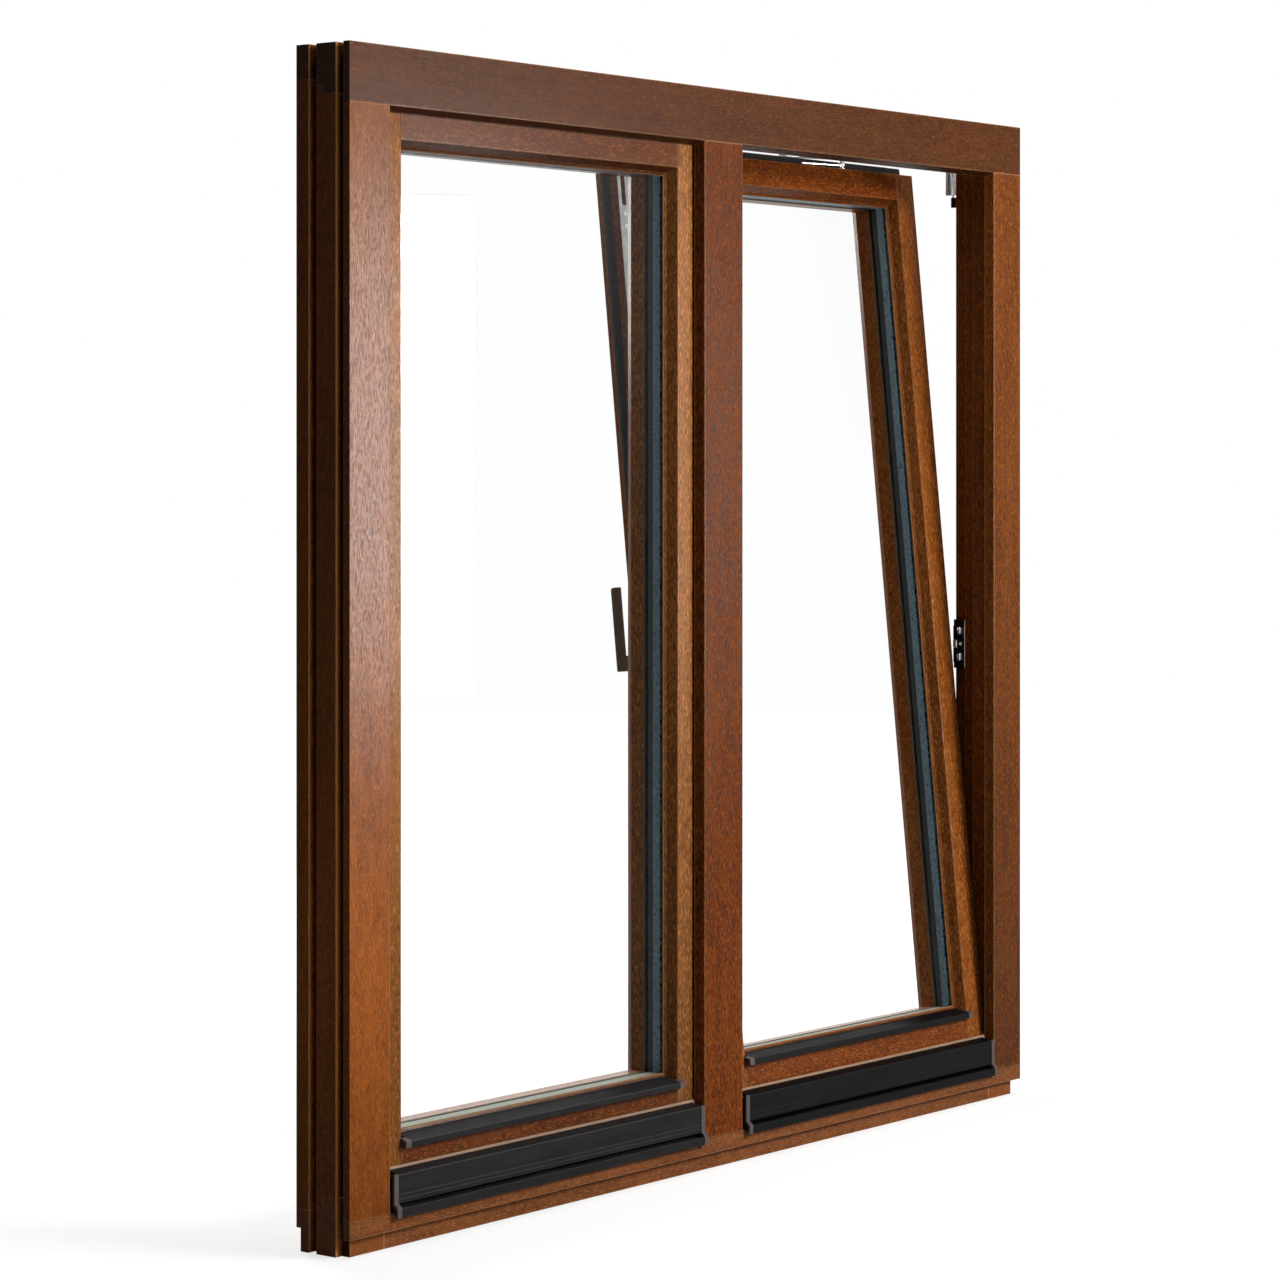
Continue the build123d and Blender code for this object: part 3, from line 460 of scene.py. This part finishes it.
def lofted(name, rings, place, material):
    """A closed form through rings of equal count, each ring a list of points and a height."""
    shape = bmesh.new()
    loops = []
    for points, height in rings:
        loops.append([shape.verts.new((x, y, height)) for x, y in points])
    count = len(loops[0])
    for low, high in zip(loops, loops[1:]):
        for i in range(count):
            j = (i + 1) % count
            shape.faces.new((low[i], low[j], high[j], high[i]))
    shape.faces.new(loops[0][::-1])
    shape.faces.new(loops[-1])
    bmesh.ops.recalc_face_normals(shape, faces=shape.faces)
    mesh = bpy.data.meshes.new(name)
    shape.to_mesh(mesh)
    shape.free()
    mesh.materials.append(material)
    piece = bpy.data.objects.new(name, mesh)
    bpy.context.scene.collection.objects.link(piece)
    piece.matrix_world = place
    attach(piece, "root")


def button(outline, root, rim, crown):
    """Rings of a button: a root below the surface, a straight rim and a rounded crown."""
    rings = [(outline, -root), (outline, rim)]
    for step in (0.3, 0.55, 0.78, 0.94, 1.0):
        angle = step * math.pi / 2
        rings.append((scaled(outline, 1.0 - 0.62 * (1.0 - math.cos(angle))), rim + crown * math.sin(angle)))
    return rings


def screw(name, place, radius, root):
    """A round-headed screw with a star recess in its crown, on a shank that goes down to its seat."""
    rim = circle(radius)
    star = []
    for i in range(len(rim)):
        angle = math.tau * i / len(rim)
        reach = radius * (0.42 + 0.1 * math.cos(6.0 * angle))
        star.append((reach * math.cos(angle), reach * math.sin(angle)))
    rings = [(rim, -root), (rim, radius * 0.12), (scaled(rim, 0.9), radius * 0.26),
             (scaled(rim, 0.68), radius * 0.34), (star, radius * 0.35), (scaled(star, 0.9), radius * 0.1)]
    lofted(name, rings, place, BRIGHT_STEEL)


# Striker plates: each one's label, the X of its face, the way it faces along X and its middle's height
STRIKERS = (("right", 0.6845, -1.0, 0.6675),
            ("left_low", 0.019, 1.0, 0.33375),
            ("left_high", 0.019, 1.0, 1.00125))
KEEP_RISE = 0.0015
OVAL_LIFT = 0.0195
OVAL_Y = 0.0322
KEEP_Y = 0.0395
RIVET_Y = 0.0316
EDGE_Y = 0.0238


def striker_details(label, face, side, level):
    """Oval heads, the keep's block, a rivet and the bright front edge of one striker plate."""
    out = (side, 0.0, 0.0)
    oval = rounded(0.0076, 0.0114, 0.0036)
    head = button(oval, 0.0014, 0.0006, 0.0036)
    for tag, lift in (("lower", -OVAL_LIFT), ("upper", OVAL_LIFT)):
        seat = facing((face, OVAL_Y, level + lift), out, UP)
        lofted(f"striker_oval_{label}_{tag}", head, seat, BRIGHT_STEEL)
    keep = facing((face + side * KEEP_RISE, KEEP_Y, level), out, UP)
    block = button(rounded(0.0068, 0.012, 0.001), 0.0003, 0.0008, 0.0012)
    lofted(f"striker_block_{label}", block, keep, BRIGHT_STEEL)
    screw(f"striker_rivet_{label}", facing((face, RIVET_Y, level), out, UP), 0.0026, 0.0004)
    edge = facing((face, EDGE_Y, level), out, UP)
    strip = button(rounded(0.0012, 0.0712, 0.0005), 0.0002, 0.0004, 0.0003)
    lofted(f"striker_edge_{label}", strip, edge, BRIGHT_STEEL)


for striker in STRIKERS:
    striker_details(*striker)

# Screws in the tilted sash's faceplates, placed on the closed sash
PLATE_MIDDLE = FRONT + 0.062
SCREW_HEAD = 0.0029
EDGE_PLATE_X = 0.0246
EDGE_SCREW_HEIGHTS = (1.281, 1.264, 0.6345, 0.6175, 0.128, 0.111)
EDGE_SCREW_ROOT = 0.0014
TOP_PLATE_Z = 1.3825
TOP_SCREW_PLACES = (0.1, 0.28, 0.46, 0.62)
TOP_SCREW_ROOT = 0.0004

for number, height in enumerate(EDGE_SCREW_HEIGHTS):
    seat = tilted(facing((EDGE_PLATE_X, PLATE_MIDDLE, height), LEFTWARD, UP))
    screw(f"faceplate_screw_{number}", seat, SCREW_HEAD, EDGE_SCREW_ROOT)

for number, along in enumerate(TOP_SCREW_PLACES):
    seat = tilted(facing((along, PLATE_MIDDLE, TOP_PLATE_Z), UP, BACKWARD))
    screw(f"top_plate_screw_{number}", seat, SCREW_HEAD, TOP_SCREW_ROOT)

# The bolt on the sash's front ledge that steadies the stay arm, and the link from it to the sash
BOLT_X = 0.505
BOLT_Y = 0.121
LEDGE_Z = 1.3646
LINK_Z = 1.3725
LINK_RUN = Vector((-0.078, 0.0185, 0.0))
LINK_CHAMFER = 0.0006

thick = circle(0.0048)
thin = circle(0.003)
bolt = [(thick, 0.0), (thick, 0.0042), (thin, 0.0046), (thin, 0.0068), (thick, 0.0072),
        (thick, 0.0118), (scaled(thick, 0.8), 0.0132), (thin, 0.0164)]
ledge = facing((BOLT_X, BOLT_Y, LEDGE_Z), UP, BACKWARD)
lofted("stay_bolt", bolt, ledge, BRIGHT_STEEL)

flat = rounded(0.009, 0.0022, 0.0008)
link = [(scaled(flat, 0.9), 0.0), (flat, LINK_CHAMFER), (flat, LINK_RUN.length - LINK_CHAMFER),
        (scaled(flat, 0.9), LINK_RUN.length)]
along_link = facing((BOLT_X, BOLT_Y, LINK_Z), LINK_RUN, UP)
lofted("stay_link", link, along_link, BRIGHT_STEEL)

# Dark plugs in the ends of the rain rails' gutters: their outline in Y and Z, and where each starts in X
PLUG = [(-0.0488, 0.0400), (-0.0305, 0.0512), (-0.0305, 0.0875),
        (-0.0432, 0.0855), (-0.0432, 0.0520), (-0.0488, 0.0470)]
PLUG_STARTS = (-0.6572, -0.0537, 0.0463, 0.6498)
PLUG_LENGTH = 0.0074
PLUG_CHAMFER = 0.0006

middle = Vector([sum(values) / len(PLUG) for values in zip(*PLUG)])
slim = [tuple(middle + 0.97 * (Vector(point) - middle)) for point in PLUG]
plug = [(slim, 0.0), (PLUG, PLUG_CHAMFER), (PLUG, PLUG_LENGTH - PLUG_CHAMFER), (slim, PLUG_LENGTH)]
for number, start in enumerate(PLUG_STARTS):
    end = facing((start, 0.0, 0.0), RIGHTWARD, UP)
    lofted(f"gutter_plug_{number}", plug, end, GASKET)

# Floor, light and camera
WHITE = (1.0, 1.0, 1.0, 1.0)
FLOOR_GREY = (0.36, 0.36, 0.36, 1.0)
FLOOR_RADIUS = 9.0
FLOOR_DROP = 0.0005
FLOOR_GLOW_NEAR = 0.72
FLOOR_GLOW_FAR = 1.0
GLOW_START = 0.8
GLOW_END = 3.2
SKY_SEEN = 1.0
SKY_LIGHT = 0.08
EYE = (-3.94872, -3.01100, 0.941635)
EYE_TURN = -51.774
LENS = 104.336
SENSOR = 36.0
SHIFT = -0.1409


def white_when_seen(graph, seen, plain):
    """A strength that is one number where the eye or a mirror looks, and another where light is gathered."""
    path = graph.add("LightPath")
    rays = graph.math("MAXIMUM", path.outputs["Is Camera Ray"], path.outputs["Is Glossy Ray"])
    rays = graph.math("MAXIMUM", rays, path.outputs["Is Transmission Ray"])
    return graph.ramp(rays, 0.0, 1.0, plain, seen)


def make_floor():
    """A pale floor that takes the window's shadow and glows to white further out."""
    shape = bmesh.new()
    bmesh.ops.create_circle(shape, cap_ends=True, segments=96, radius=FLOOR_RADIUS)
    mesh = bpy.data.meshes.new("floor")
    shape.to_mesh(mesh)
    shape.free()
    floor = bpy.data.objects.new("floor", mesh)
    bpy.context.scene.collection.objects.link(floor)
    floor.location = (0.0, 0.0, -FLOOR_DROP)
    material, graph = new_material("pale_floor")
    away = graph.add("VectorMath", {0: graph.place()}, operation="LENGTH").outputs["Value"]
    glow = graph.ramp(away, GLOW_START, GLOW_END, FLOOR_GLOW_NEAR, FLOOR_GLOW_FAR)
    strength = graph.times(glow, white_when_seen(graph, 1.0, 0.0))
    matt = graph.add("BsdfDiffuse", {"Color": FLOOR_GREY}).outputs["BSDF"]
    light = graph.add("Emission", {"Color": WHITE, "Strength": strength}).outputs["Emission"]
    graph.surface(graph.add("AddShader", {0: matt, 1: light}).outputs["Shader"])
    mesh.materials.append(material)


def make_world():
    """A sky that looks white and gives only a little light."""
    world = bpy.data.worlds.new("studio")
    world.use_nodes = True
    graph = Graph(world.node_tree)
    strength = white_when_seen(graph, SKY_SEEN, SKY_LIGHT)
    sky = graph.add("Background", {"Color": WHITE, "Strength": strength})
    graph.add("OutputWorld", {"Surface": sky.outputs["Background"]})
    bpy.context.scene.world = world


def softbox(name, place, aim, width, height, power, spread=180.0):
    """A rectangular lamp turned towards a point."""
    lamp = bpy.data.lights.new(name, "AREA")
    lamp.shape = "RECTANGLE"
    lamp.size = width
    lamp.size_y = height
    lamp.energy = power
    lamp.spread = math.radians(spread)
    box = bpy.data.objects.new(name, lamp)
    box.location = place
    box.rotation_euler = (Vector(aim) - Vector(place)).to_track_quat("-Z", "Y").to_euler()
    bpy.context.scene.collection.objects.link(box)
    return box


def make_camera():
    """A level camera at the photograph's viewing angle."""
    data = bpy.data.cameras.new("camera")
    data.sensor_width = SENSOR
    data.lens = LENS
    data.shift_y = SHIFT
    eye = bpy.data.objects.new("camera", data)
    eye.location = EYE
    eye.rotation_euler = (math.radians(90.0), 0.0, math.radians(EYE_TURN))
    bpy.context.scene.collection.objects.link(eye)
    bpy.context.scene.camera = eye


make_floor()
make_world()
softbox("key", place=(0.95, -3.1, 2.1), aim=(0.0, 0.0, 0.75), width=1.5, height=1.3, power=118.0)
softbox("rim", place=(-2.2, -3.0, 1.0), aim=(-HALF_WIDTH, 0.0, 0.72), width=0.2, height=1.5, power=0.3,
        spread=15.0)
softbox("top", place=(0.1, -0.5, 3.7), aim=(0.0, 0.0, 0.7), width=1.6, height=1.6, power=38.0)
softbox("back", place=(0.9, 3.0, 1.9), aim=(0.0, 0.0, 0.7), width=1.5, height=1.5, power=95.0)
sheen = softbox("sheen", place=(1.5, -2.1, 0.97), aim=(-0.7, 0.0, 0.93), width=0.6, height=1.0, power=225.0)
sheen.visible_diffuse = False
make_camera()
bpy.context.scene.view_settings.view_transform = "Standard"

bpy.context.view_layer.update()
